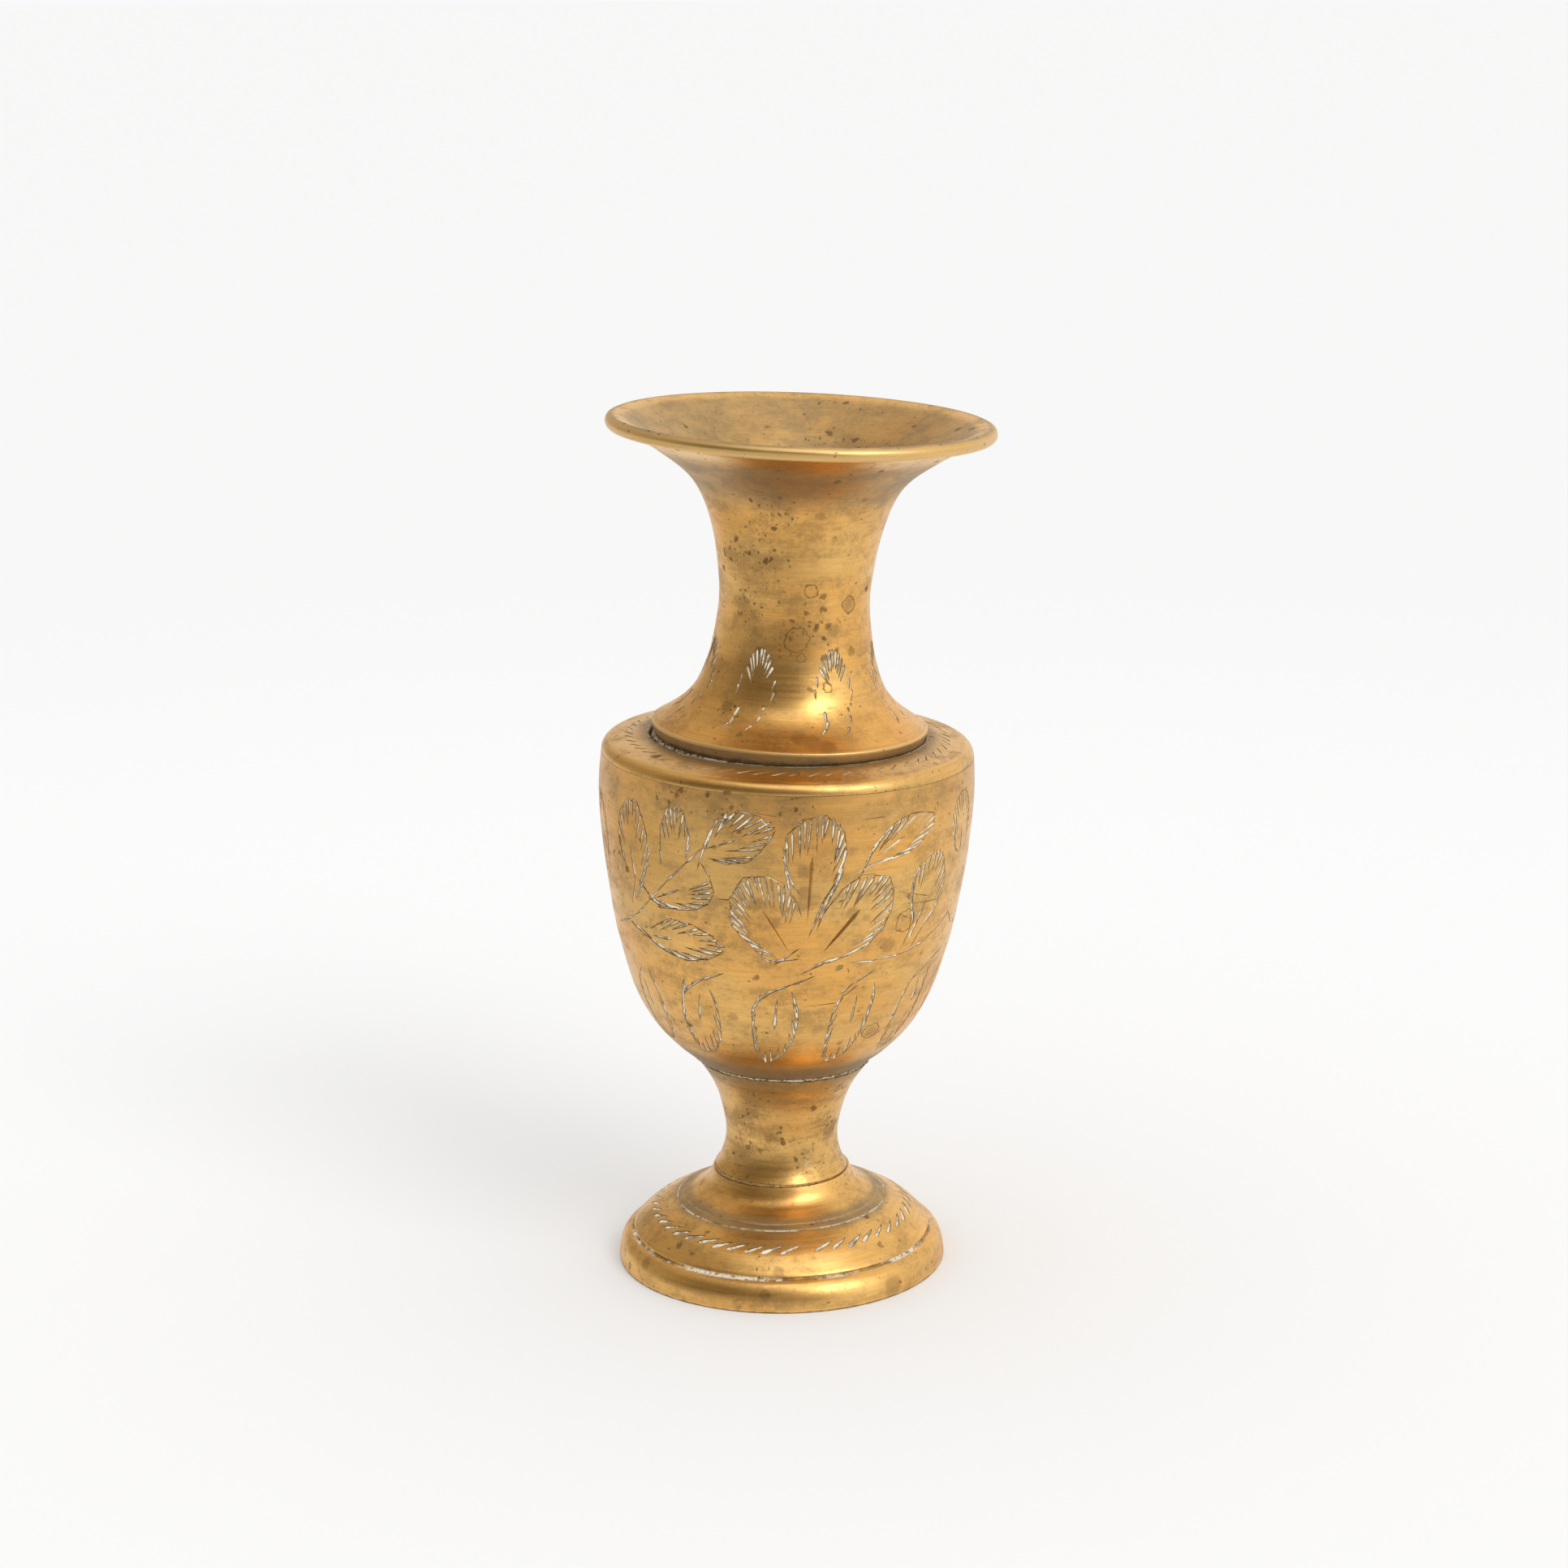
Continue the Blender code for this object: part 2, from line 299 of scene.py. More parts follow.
def build_wall(wall, strokes, rows):
    """Mesh of one casting: engraved outside, plain inside, closed."""
    theta, s, depth, smooth, faces = skin(wall, strokes, rows)
    outside = wall.shape(theta, s)
    normal = wall.normals(theta, s)
    points = outside - normal * depth[:, None]
    merged = np.arange(len(theta))
    start_of = {round(s[i], 3): i for i in range(len(s)) if theta[i] < 1e-6}
    for i in np.nonzero(theta > math.tau - 1e-6)[0]:
        merged[i] = start_of[round(s[i], 3)]

    inner = np.array(wall.inner)
    turns = np.arange(COLUMNS) * math.tau / COLUMNS + math.radians(wall.seam)
    grid = np.stack([inner[:, :1] * np.cos(turns), inner[:, :1] * np.sin(turns),
                     np.repeat(inner[:, 1:], COLUMNS, 1)], -1)
    first = len(points)

    def ring_of(level):
        """Vertex indices of the skin's bottom or top edge."""
        found = [i for i in range(len(s)) if abs(s[i] - level) < 1e-4 and merged[i] == i]
        return sorted(found, key=lambda i: theta[i])

    rings = [ring_of(rows[-1])]
    for level in range(len(inner)):
        rings.append([first + level * COLUMNS + k for k in range(COLUMNS)])
    rings.append(ring_of(rows[0]))
    all_points = np.concatenate([points, grid.reshape(-1, 3)])
    all_faces = [tuple(int(merged[i]) for i in face) for face in faces]
    skin_faces = len(all_faces)
    for low, high in zip(rings, rings[1:]):
        for k in range(COLUMNS):
            n = (k + 1) % COLUMNS
            all_faces.append((low[k], low[n], high[n], high[k]))

    inner_steps = np.hypot(*np.diff(inner, axis=0).T)
    inner_s = wall.length + 1.0 + np.concatenate([[0.0], np.cumsum(inner_steps)])
    plain = np.zeros(grid.shape[0] * COLUMNS)
    layers = {"along": np.concatenate([s, np.repeat(inner_s, COLUMNS)]),
              "cut": np.concatenate([depth, plain]),
              "burnished": np.concatenate([smooth, plain]),
              "bend": np.concatenate([wall.curve(s), plain]),
              "dirt": np.concatenate([wall.crease(s), plain])}
    return finish_mesh(wall, all_points, all_faces, skin_faces, normal, depth, layers)


def finish_mesh(wall, points, faces, skin_faces, normal, depth, layers):
    """Blender object with exact wall normals outside the cuts and flat facets inside."""
    matrix = wall.frame
    data = bpy.data.meshes.new(wall.name)
    placed = [(matrix @ Vector(p)) * MM for p in points]
    data.from_pydata(placed, [], faces)
    data.validate()
    data.update()
    for key, values in layers.items():
        attribute = data.attributes.new(key, "FLOAT", "POINT")
        attribute.data.foreach_set("value", np.asarray(values, float))
    data.shade_smooth()
    turn = np.array(matrix.to_3x3())
    exact = normal @ turn.T
    ring_normals = np.array([v.vector for v in data.vertex_normals])
    loops = np.zeros((len(data.loops), 3))
    for polygon in data.polygons:
        if polygon.index < skin_faces:
            corners = list(polygon.vertices)
            cutting = any(c < len(depth) and depth[c] > FACETED for c in corners)
            for loop, corner in zip(polygon.loop_indices, corners):
                loops[loop] = polygon.normal if cutting else exact[corner]
        else:
            for loop, corner in zip(polygon.loop_indices, polygon.vertices):
                loops[loop] = ring_normals[corner] if corner >= len(depth) else polygon.normal
    data.normals_split_custom_set(loops.tolist())
    piece = bpy.data.objects.new(wall.name, data)
    bpy.context.scene.collection.objects.link(piece)
    return piece


# ------------------------------------------------------------------ patterns

class Graver:
    """Lays strokes on one wall. Places are (degrees from the front, height in mm)."""

    def __init__(self, wall, seed, centre=0.0, flip=1):
        self.wall = wall
        self.random = random.Random(seed)
        self.centre = centre
        self.flip = flip
        self.strokes = []

    def place(self, spot):
        return self.wall.turn(self.centre + self.flip * spot[0]), self.wall.at_height(spot[1])

    def cut(self, tail, nose, width, burnished=False):
        """One stroke, from its shallow tail to its deep nose; jittered a little."""
        start, end = self.place(tail), self.place(nose)
        if abs(start[0] - end[0]) > 3:
            return
        width *= self.random.uniform(0.8, 1.2)
        stroke = Stroke(self.wall, start, end, width, burnished)
        if stroke.length > 0.5:
            self.strokes.append(stroke)

    def to_mm(self, spot, other):
        """Offset from one place to another in millimetres on the wall."""
        radius = float(self.wall.radius(self.wall.at_height(spot[1])))
        return Vector((math.radians(other[0] - spot[0]) * radius, other[1] - spot[1]))

    def shift(self, spot, offset):
        radius = float(self.wall.radius(self.wall.at_height(spot[1])))
        return spot[0] + math.degrees(offset.x / radius), spot[1] + offset.y

    def trail(self, stations, width=0.42, step=3.2, burnished=False):
        """A line cut as several strokes one after the other."""
        path = smooth_through(stations, 6)
        run, start = 0.0, path[0]
        for a, b in zip(path, path[1:]):
            run += self.to_mm(a, b).length
            if run >= step or b == path[-1]:
                slip = Vector((self.random.uniform(-0.08, 0.08), self.random.uniform(-0.08, 0.08)))
                self.cut(self.shift(start, slip), b, width, burnished)
                start, run = a, 0.0
                step *= self.random.uniform(0.85, 1.18)

    def fan(self, stations, focus, length, pitch, width):
        """Strokes from an outline towards a focus, each deepest at the outline."""
        path = smooth_through(stations, 8)
        run = 0.0
        for a, b in zip(path, path[1:]):
            toward = self.to_mm(b, focus).normalized()
            step = self.to_mm(a, b)
            run += max(abs(step.cross(toward)), 0.6 * step.length)
            if run < pitch:
                continue
            run = 0.0
            toward.rotate(Matrix.Rotation(self.random.uniform(-0.09, 0.09), 2))
            nose = self.shift(b, toward * NOSE_INSET)
            tail = self.shift(b, toward * length * self.random.uniform(0.65, 1.15))
            self.cut(tail, nose, width)

    def leaf(self, outline, focus, length, vein=(), pitch=0.9, width=0.54):
        self.trail(outline, 0.36)
        self.fan(outline[1:], focus, length * 1.35, pitch, width)
        if vein:
            self.trail(vein, 0.55, 6.0)

    def petal(self, outline, focus, length, vein):
        """Like a leaf, with closer hatching and a long burnished vein from the middle out."""
        self.leaf(outline, focus, length, (), 0.86, 0.6)
        self.trail(vein[::-1], 0.75, 11.0, True)


# Places in these lists are (degrees from the front, height in mm), read off the photo.
# Petals of the large flower: outline, focus of the hatching, its length, vein.
PETALS = (
    (((4.4, 74.6), (0.4, 78.6), (-1.6, 83.1), (1.9, 87), (8.8, 88.8), (15.2, 87.8), (17.9, 84),
      (17.1, 80.1), (14.7, 76.6), (10.7, 73.1)), (6.8, 64.2), 4.8, ((7.6, 82.1), (6.7, 69.8))),
    (((5.1, 70.6), (4.2, 72.9), (0.2, 76.4), (-7.7, 78.5), (-14.6, 77.1), (-18, 72.6),
      (-16.6, 68.5), (-3.9, 62.2)), (-1, 63.2), 4.4, ((-7.4, 72.1), (-5, 72.3), (1.9, 64.2))),
    (((9.5, 69.9), (17.6, 76.1), (22.8, 77.9), (32.7, 77.3), (35.1, 73), (33.5, 68.9),
      (27.9, 65.3), (12, 62.6)), (10.7, 62.2), 4.4, ((23.7, 72.1), (11.9, 64.4))),
)

# Leaves round the flower and along its stems, with the same four entries.
LEAVES = (
    (((-23, 80.2), (-16.6, 79.7), (-11.1, 80.4), (-7.7, 82.3), (-3.2, 86.7), (-8.3, 88.4),
      (-18.7, 88.7), (-24.3, 83.7)), (-25.6, 81), 4.6, ((-25, 81.8), (-15.1, 84))),
    (((-41, 77.2), (-40.9, 83.9), (-38.7, 87.4), (-35.6, 88.9), (-32.1, 87.8), (-29.9, 83.4),
      (-31.2, 81.5)), (-35.4, 72), 3.8, ()),
    (((-57.2, 74.6), (-61.5, 78.5), (-62.6, 81.7), (-59.8, 85.3), (-53.4, 88.2), (-48.7, 85.4),
      (-45.7, 80.1), (-46.7, 77.4), (-49.7, 72.9)), (-55.1, 69.8), 4, ((-55.2, 79.8),
      (-53.1, 74.2), (-57.1, 68.5))),
    (((-26.6, 79.6), (-23.6, 77.3), (-22.2, 75.4), (-22.6, 73.4), (-26.6, 71.2), (-33.5, 70.4),
      (-44.1, 69.9)), (-45.3, 70.9), 5, ((-44.9, 71.2), (-34.1, 74))),
    (((-49.4, 65.1), (-40.8, 67.9), (-34.7, 68.5), (-25.2, 67.1), (-18.5, 64.7), (-21.3, 63.5),
      (-29.8, 61.3), (-38.9, 61.6), (-47.1, 62.9)), (-50.9, 63.9), 4.2, ((-48, 64.2),
      (-39.2, 64.5))),
    (((20.9, 78.3), (31.1, 80.5), (39.6, 80.8), (46.5, 83.1), (51.5, 86.2), (41.3, 87.5),
      (33.4, 86.4), (25.9, 82.4)), (23.5, 79.1), 4.4, ((26.5, 80.5), (37.4, 83.9))),
    (((41.4, 63.5), (44.3, 68.9), (41.7, 74.5), (44.5, 78.3), (53.7, 80.3), (57.4, 76.8),
      (58.7, 71.4), (50.6, 67.2)), (45.9, 64), 3.6, ((50, 71.5), (44.1, 65))),
    (((67.8, 77.4), (62.3, 79.2), (59.9, 85.6), (66.1, 88.7), (71.9, 87.6), (74.8, 81.7)),
      (67.9, 74.7), 3.4, ((66.8, 82.8), (68, 77.7))),
    (((-76.8, 67.7), (-73.9, 72.7), (-71.2, 77.7), (-73.3, 83.6), (-78.1, 86.7), (-83, 82.7),
      (-81, 73.7)), (-77.8, 67.7), 3.4, ((-76.1, 79.7), (-76.9, 71.7))),
    (((-27.7, 58.5), (-35.9, 56), (-39.4, 52.1), (-40.4, 47.2), (-38, 42.3), (-27.9, 44.4),
      (-23.8, 49), (-24.5, 54.7)), (-32, 66), 3.0, ((-30.2, 55.8), (-32.7, 49.9))),
    (((-4, 57), (-9.2, 55.6), (-11.7, 50.7), (-9.7, 42.1), (0, 44), (5.2, 49.6), (4.5, 55)),
      (-2, 66), 3.0, ((-2.2, 56.3), (-3.3, 49.7))),
    (((26.3, 58.1), (19.7, 55.5), (17.1, 51.1), (18.5, 42.4), (27.4, 43.3), (32.3, 50),
      (33.3, 55.5)), (29, 66), 3.0, ((26.1, 56.4), (25.4, 50.7))),
    (((54.5, 58.5), (49, 55.5), (45.3, 49.9), (47, 42.7), (55.1, 44.2), (60, 50.4),
      (61.4, 56.1)), (58, 66), 3.0, ((55.2, 56.7), (55.1, 51.8))),
    (((-59, 57.1), (-64.6, 53.5), (-64.8, 48.6), (-65, 42.4), (-52.9, 44.7), (-49.9, 50.4),
      (-53.2, 55.3)), (-60, 66), 3.0, ((-59.8, 55.1), (-58.2, 49.8))),
)

# Leaves that fill the gaps at the two sides: seed, one of the leaves, turn added to it.
SIDE_LEAVES = ((17, LEAVES[10], 82), (18, LEAVES[10], 106), (19, LEAVES[10], -87),
               (20, LEAVES[7], 22))

STEMS = (
    ((-25.6, 82.1), (-35.5, 76.8), (-48, 70.3), (-57.1, 66.4), (-70.3, 63.7)),
    ((21, 62.3), (35.7, 62), (46.9, 62.9), (55.6, 64.2), (66.7, 67.2)),
    ((10.8, 60.4), (0.4, 58.2), (-8, 56.5)),
    ((31.9, 60.6), (24.3, 58.5), (19.6, 56.5)),
    ((68.5, 60.6), (59.8, 59.1), (51, 56.6)),
    ((-19.5, 60.2), (-27.7, 58.5), (-36.6, 55.5)),
    ((-49.4, 63.3), (-54.9, 64.4), (-59.9, 65.2)),
    ((64.8, 67.8), (71.3, 64.3), (78.1, 63.8)),
    ((31.1, 80.5), (20.9, 78.3)),
)


# Thin scratches across the bowl, from end to end.
SCRATCHES = (
    ((34, 74.4), (52, 71.7)), ((35, 71.8), (60, 70.4)), ((5.6, 54.4), (20.1, 54.9)),
    ((20.2, 87.5), (31, 87.6)), ((24.3, 76.5), (28.5, 76.7)), ((-21.9, 73.4), (-16.9, 73.4)),
    ((37, 70.2), (42.5, 68.8)), ((-12, 88.9), (-2, 88.3)),
)


def engrave_bowl(wall):
    """A flower and its leaves on the front, their mirror image behind, leaves between."""
    strokes = []
    for seed, centre, flip in ((5, 0, 1), (11, 180, -1)):
        graver = Graver(wall, seed, centre, flip)
        for outline, focus, length, vein in PETALS:
            graver.petal(outline, focus, length, vein)
        for outline, focus, length, vein in LEAVES:
            graver.leaf(outline, focus, length, vein)
        for stem in STEMS:
            graver.trail(stem, 0.5, 4.6)
        for start, end in SCRATCHES:
            graver.cut(start, end, 0.17)
        strokes += graver.strokes
    for seed, leaf, centre in SIDE_LEAVES:
        graver = Graver(wall, seed, centre)
        graver.leaf(*leaf)
        strokes += graver.strokes
    return strokes


# Notches under each arch: place of the nose, offset (degrees, mm down) of the tail, width.
NOTCHES = (
    ((-12.5, 107.8), (0.2, 2.0), 0.6), ((-14.0, 105.9), (0.3, 1.9), 0.55),
    ((-9.0, 102.4), (-0.6, 1.9), 0.75), ((-8.6, 101.0), (-2.0, 1.5), 0.6),
    ((-10.4, 100.0), (-3.5, 1.1), 0.45),
    ((12.6, 107.4), (-1.8, 2.0), 0.62), ((12.8, 105.5), (-2.2, 1.9), 0.6),
    ((7.0, 102.9), (-0.4, 0.8), 0.6), ((6.4, 101.6), (-1.4, 1.1), 0.55),
    ((3.4, 100.2), (-3.0, 0.9), 0.5),
)


def engrave_neck(wall):
    """Fans of strokes round the bell like peacock eyes, each with notches under it."""
    wall.seam = 325.0
    graver = Graver(wall, 3)
    for k in range(7):
        middle = -23 + k * 360 / 7
        for turn in range(-64, 65, 16):
            a = math.radians(turn + graver.random.uniform(-3, 3))
            nose = (middle + 11.5 * math.sin(a), 107.0 + 5.4 * math.cos(a))
            toward = graver.to_mm(nose, (middle, 104.6)).normalized()
            tail = graver.shift(nose, toward * graver.random.uniform(2.9, 4.0))
            graver.cut(tail, nose, 0.62)
        for (turn, height), (across, drop), width in NOTCHES:
            slip = graver.random.uniform(-0.5, 0.5)
            nose = (middle + turn + slip, height + 0.3 * slip)
            graver.cut((nose[0] + across, nose[1] - drop), nose, width)
    return graver.strokes


def engrave_ring(wall, seed, count, low, high, slant, width):
    """Ring of slanted strokes between two distances along the outline, begun at the back."""
    wall.seam = 90.0
    rng = random.Random(seed)
    strokes = []
    for k in range(count):
        theta = math.tau * (k + 0.5) / count + rng.uniform(-0.008, 0.008)
        if rng.random() < 0.04 or abs(theta - math.pi) > math.pi - 0.75 * slant:
            continue
        lift = rng.uniform(-0.15, 0.15)
        nose = (theta - slant / 2, low + lift)
        tail = (theta + slant / 2 * rng.uniform(0.8, 1.1), high + lift)
        strokes.append(Stroke(wall, tail, nose, width * rng.uniform(0.75, 1.2)))
    return strokes


def engrave_foot(wall):
    return engrave_ring(wall, 21, 46, wall.at_height(8.55), wall.at_height(9.55), 0.18, 0.85)


def engrave_shoulder(wall):
    return engrave_ring(wall, 31, 58, wall.length - 5.4, wall.length - 3.7, 0.11, 0.48)


# ------------------------------------------------------------------ castings

def spread(wall, spacing, fine=()):
    """Row places along an outline: even, with extra rows around fine features."""
    count = max(2, int(wall.length / spacing))
    places = list(np.linspace(0, wall.length, count + 1))
    for centre, width in fine:
        places += [centre + width * t for t in (-1.6, -1, -0.55, -0.25, 0, 0.25, 0.55, 1, 1.6)]
    places += list(wall.s[[0, -1]])
    places = sorted({round(float(np.clip(p, 0, wall.length)), 3) for p in places})
    kept = [places[0]]
    for p in places[1:]:
        if p - kept[-1] > 0.07:
            kept.append(p)
    kept[-1] = places[-1]
    return kept


def foot_wall():
    edge = arc((28.65, 0.15), 0.15, -90, 0, 3) + smooth_through(
        [(28.8, 0.5), (28.65, 2.0), (28.2, 3.4), (27.5, 4.4), (26.75, 4.95)], 5)
    cone = smooth_through([(26.1, 5.7), (25.2, 6.6), (24.3, 7.5), (22.9, 8.6), (20.2, 10.1),
                           (17.2, 11.5), (14.4, 13.0), (12.9, 14.3), (12.0, 16.3)], 6)
    hollow = smooth_through([(25.7, 0), (25.8, 2.4), (24.4, 4.6), (21.6, 7.0), (17.6, 9.3),
                             (8.4, 12.4)], 4)
    wall = Turned("foot_casting", UPRIGHT, edge + cone, [(8.4, 16.3)] + hollow[::-1], 0.06)
    seam, upper, lower = (wall.at_height(z) for z in (5.25, 11.5, 10.9))
    wall.lines = ((seam, 0.34, 0.36), (upper, 0.2, 0.12), (lower, 0.22, 0.14))
    wall.creases = ((seam, 0.34, 0.85), (upper, 0.2, 0.45), (lower, 0.22, 0.6),
                    (wall.length, 0.3, 0.4), (0.0, 0.35, 1.0))
    rows = spread(wall, 0.9, ((seam, 0.38), (upper, 0.2), (lower, 0.22), (0.6, 0.4)))
    return wall, rows, engrave_foot(wall)


def stem_wall():
    outer = smooth_through([(11.6, 16.75), (11.1, 17.5), (10.55, 18.6), (9.95, 20.8),
                            (9.75, 22.8), (9.95, 24.8), (10.4, 27.0), (11.4, 30.5),
                            (12.95, 33.7), (15.1, 36.75)], 6)
    inner = [(9.9, 36.75), (9.9, 32.5), (6.2, 32.5), (6.2, 11.6), (8, 11.6), (8, 16.75)]
    wall = Turned("stem_casting", ON_FOOT, outer, inner, 0.05)
    line = wall.at_height(24.2)
    wall.lines = ((line, 0.15, 0.025),)
    wall.creases = ((line, 0.2, 0.35), (wall.length, 0.5, 0.7), (0.0, 0.2, 0.35))
    return wall, spread(wall, 0.9, ((line, 0.15),)), []


def bowl_wall():
    side = smooth_through([(15.45, 37.35), (16.9, 38.6), (19.3, 40.6), (22.8, 44.5),
                           (26.1, 50.5), (28.6, 58.5), (29.5, 62.5), (30.2, 66.5),
                           (31.4, 74.5), (32.15, 83.0), (32.2, 87.5), (31.95, 91.72)], 8)
    inside = [p for p in inside_of(side, 1.8)[::5] if 44.4 < p[1] < 91.2]
    floor = [(16, 42.4), (12, 41.6), (0.5, 41.6), (0.5, 33.1), (8.9, 33.1), (8.9, 37.35)]
    wall = Turned("bowl_casting", ON_STEM, side, [(30.3, 91.7)] + inside + floor, 0.06)
    wall.creases = ((0.0, 0.5, 0.8),)
    return wall, spread(wall, 1.1), engrave_bowl(wall)


def shoulder_wall():
    outer = ([(31.95, 91.8)] + arc((29.95, 91.85), 2.0, 3, 72, 10)
             + [(28.5, 94.05), (26.0, 94.45), (23.8, 94.75), (23.72, 94.3), (23.7, 93.55)])
    inner = [(20.9, 93.55), (20.9, 94.35), (13.6, 94.35), (13.6, 97.2), (12, 97.2), (12, 90.6),
             (29.9, 90.6), (29.9, 91.8)]
    wall = Turned("shoulder_casting", ON_STEM, outer, inner, 0.03)
    rings = [wall.length - d for d in (2.3, 2.9, 6.2)]
    wall.lines = tuple((p, 0.12, 0.03) for p in rings)
    wall.creases = ((wall.length - 1.1, 0.45, 0.9),)
    rows = spread(wall, 0.6, tuple((p, 0.12) for p in rings))
    return wall, rows, engrave_shoulder(wall)


def neck_wall():
    band = [(22.9, 94.5), (23.1, 94.65), (23.3, 95.1), (23.5, 95.9), (23.62, 96.5)]
    band += arc((23.3, 96.6), 0.34, 0, 60, 4)
    bell = smooth_through([(23.2, 97.05), (22.3, 97.6), (19.5, 99.5), (17.4, 101.5),
                           (16.05, 103.5), (14.85, 106.5), (13.8, 110.5), (12.87, 118.5),
                           (13.65, 126.6), (15.05, 132.5), (17.1, 137.2), (19.8, 140.3),
                           (24.8, 143.8), (28.8, 145.95), (31.0, 146.55)], 6)
    bead = arc((31.7, 147.75), 1.25, -60, 85, 12)
    flare = smooth_through([(31.0, 148.8), (29.2, 148.15), (26.8, 146.85), (23.9, 145.15),
                            (20.8, 143.1), (18.2, 141.0), (15.7, 137.9), (13.6, 133.6),
                            (12.4, 128.9), (11.65, 123.8), (11.35, 118.5)], 4)
    skirt = [(12.0, 111.4), (13.1, 107.0), (14.6, 103.2), (16.3, 100.6), (18.3, 98.6),
             (20.6, 97.1), (21.8, 96.2), (21.8, 94.5)]
    wall = Turned("neck_casting", ON_BOWL, band + bell + bead, flare + skirt, 0.06)
    wall.creases = ((0.3, 0.5, 0.9),)
    rows = spread(wall, 1.0, ((0.5, 0.3), (2.3, 0.4), (wall.length - 2.4, 1.0)))
    return wall, rows, engrave_neck(wall)


def solder_bead(name, low_frame, high_frame, profile, bumps, seed):
    """Uneven ring of solder. profile lists (radius, height, 0 or 1 for the frame it follows)."""
    rng = random.Random(seed)
    waves = [(rng.randint(3, 40), rng.uniform(0, math.tau), rng.uniform(0.3, 1)) for _ in range(9)]
    count = len(profile)
    verts, faces = [], []
    for k in range(COLUMNS):
        theta = math.tau * k / COLUMNS
        swell = sum(w * math.sin(n * theta + p) for n, p, w in waves) / 3 * bumps
        for i, (radius, height, upper) in enumerate(profile):
            outer = radius + (swell if 0 < i < count - 1 else 0)
            point = Vector((outer * math.cos(theta), outer * math.sin(theta), height))
            verts.append((high_frame if upper else low_frame) @ point * MM)
        for i in range(count):
            j, n = (i + 1) % count, (k + 1) % COLUMNS
            faces.append((k * count + i, n * count + i, n * count + j, k * count + j))
    data = bpy.data.meshes.new(name)
    data.from_pydata(verts, [], faces)
    data.update()
    data.shade_smooth()
    data.set_sharp_from_angle(angle=math.radians(50))
    piece = bpy.data.objects.new(name, data)
    bpy.context.scene.collection.objects.link(piece)
    return piece


def solder_beads():
    """The four seams as (CAD node, mesh)."""
    foot = [(9.5, 16.34, 0), (11.75, 16.34, 0), (11.8, 16.38, 0), (11.62, 16.7, 1),
            (9.5, 16.7, 1)]
    bowl = [(10.5, 36.8, 0), (15.05, 36.8, 0), (15.25, 36.95, 0), (15.35, 37.15, 1),
            (15.38, 37.3, 1), (10.5, 37.3, 1)]
    shoulder = [(30.5, 91.73, 0), (31.9, 91.73, 0), (31.93, 91.76, 0), (31.9, 91.79, 0),
                (30.5, 91.79, 0)]
    neck = [(22.0, 93.6, 0), (23.4, 93.6, 0), (23.45, 93.98, 0), (23.3, 94.43, 1),
            (22.9, 94.46, 1), (22.0, 94.46, 1)]
    return (("foot_solder_seam", solder_bead("foot_bead", UPRIGHT, ON_FOOT, foot, 0.05, 1)),
            ("bowl_solder_seam", solder_bead("bowl_bead", ON_FOOT, ON_STEM, bowl, 0.1, 2)),
            ("shoulder_solder_seam",
             solder_bead("shoulder_bead", ON_STEM, ON_STEM, shoulder, 0.01, 3)),
            ("neck_solder_seam", solder_bead("neck_bead", ON_STEM, ON_BOWL, neck, 0.06, 4)))


# ------------------------------------------------------------------ finishes

class Nodes:
    """Short-hand for building the node tree of a material or a world."""

    def __init__(self, owner, shader="Principled BSDF"):
        owner.use_nodes = True
        self.owner = owner
        self.tree = owner.node_tree
        self.shader = self.tree.nodes[shader]

    def add(self, kind, settings=None, **inputs):
        """New node. Inputs go by name, or by number as i0, i1 and so on."""
        node = self.tree.nodes.new(kind)
        for key, value in (settings or {}).items():
            setattr(node, key, value)
        for key, value in inputs.items():
            socket = node.inputs[int(key[1:]) if key[1:].isdigit() else key.replace("_", " ")]
            self.feed(socket, value)
        return node

    def feed(self, socket, value):
        if isinstance(value, bpy.types.NodeSocket):
            self.tree.links.new(value, socket)
        else:
            socket.default_value = value

    def surface(self, **inputs):
        """Feed the shader that the tree ends in."""
        for key, value in inputs.items():
            self.feed(self.shader.inputs[key.replace("_", " ")], value)

    def math(self, operation, a, b=0.0, clamp=False):
        node = self.add("ShaderNodeMath", {"operation": operation, "use_clamp": clamp},
                        i0=a, i1=b)
        return node.outputs[0]

    def plus(self, start, *terms):
        """start plus each (value, weight) term."""
        for value, weight in terms:
            start = self.math("ADD", start, self.math("MULTIPLY", value, weight))
        return start

    def product(self, *factors):
        total = factors[0]
        for factor in factors[1:]:
            total = self.math("MULTIPLY", total, factor)
        return total

    def inverse(self, value):
        return self.math("SUBTRACT", 1.0, value)

    def vector(self, operation, *inputs):
        """A vector operation, or the number that it measures."""
        node = self.add("ShaderNodeVectorMath", {"operation": operation})
        for socket, value in zip(node.inputs, inputs):
            self.feed(socket, value)
        measures = operation in ("DISTANCE", "DOT_PRODUCT", "LENGTH")
        return node.outputs["Value" if measures else "Vector"]

    def ramp(self, value, low, high, start=0.0, end=1.0):
        """start below low, end above high, and smooth between."""
        node = self.add("ShaderNodeMapRange", {"interpolation_type": "SMOOTHSTEP"},
                        Value=value, From_Min=low, From_Max=high, To_Min=start, To_Max=end)
        return node.outputs[0]

    def mix(self, factor, a, b):
        node = self.add("ShaderNodeMix", {"data_type": "RGBA"}, Factor=factor, i6=a, i7=b)
        return node.outputs[2]

    def noise(self, vector, scale, detail=4.0, rough=0.6):
        node = self.add("ShaderNodeTexNoise", None, Vector=vector, Scale=scale, Detail=detail,
                        Roughness=rough)
        return node.outputs["Fac"]

    def bump(self, height, depth):
        """Normal for a relief whose full height is depth, in metres."""
        node = self.add("ShaderNodeBump", None, Strength=1.0, Distance=depth, Height=height)
        return node.outputs[0]


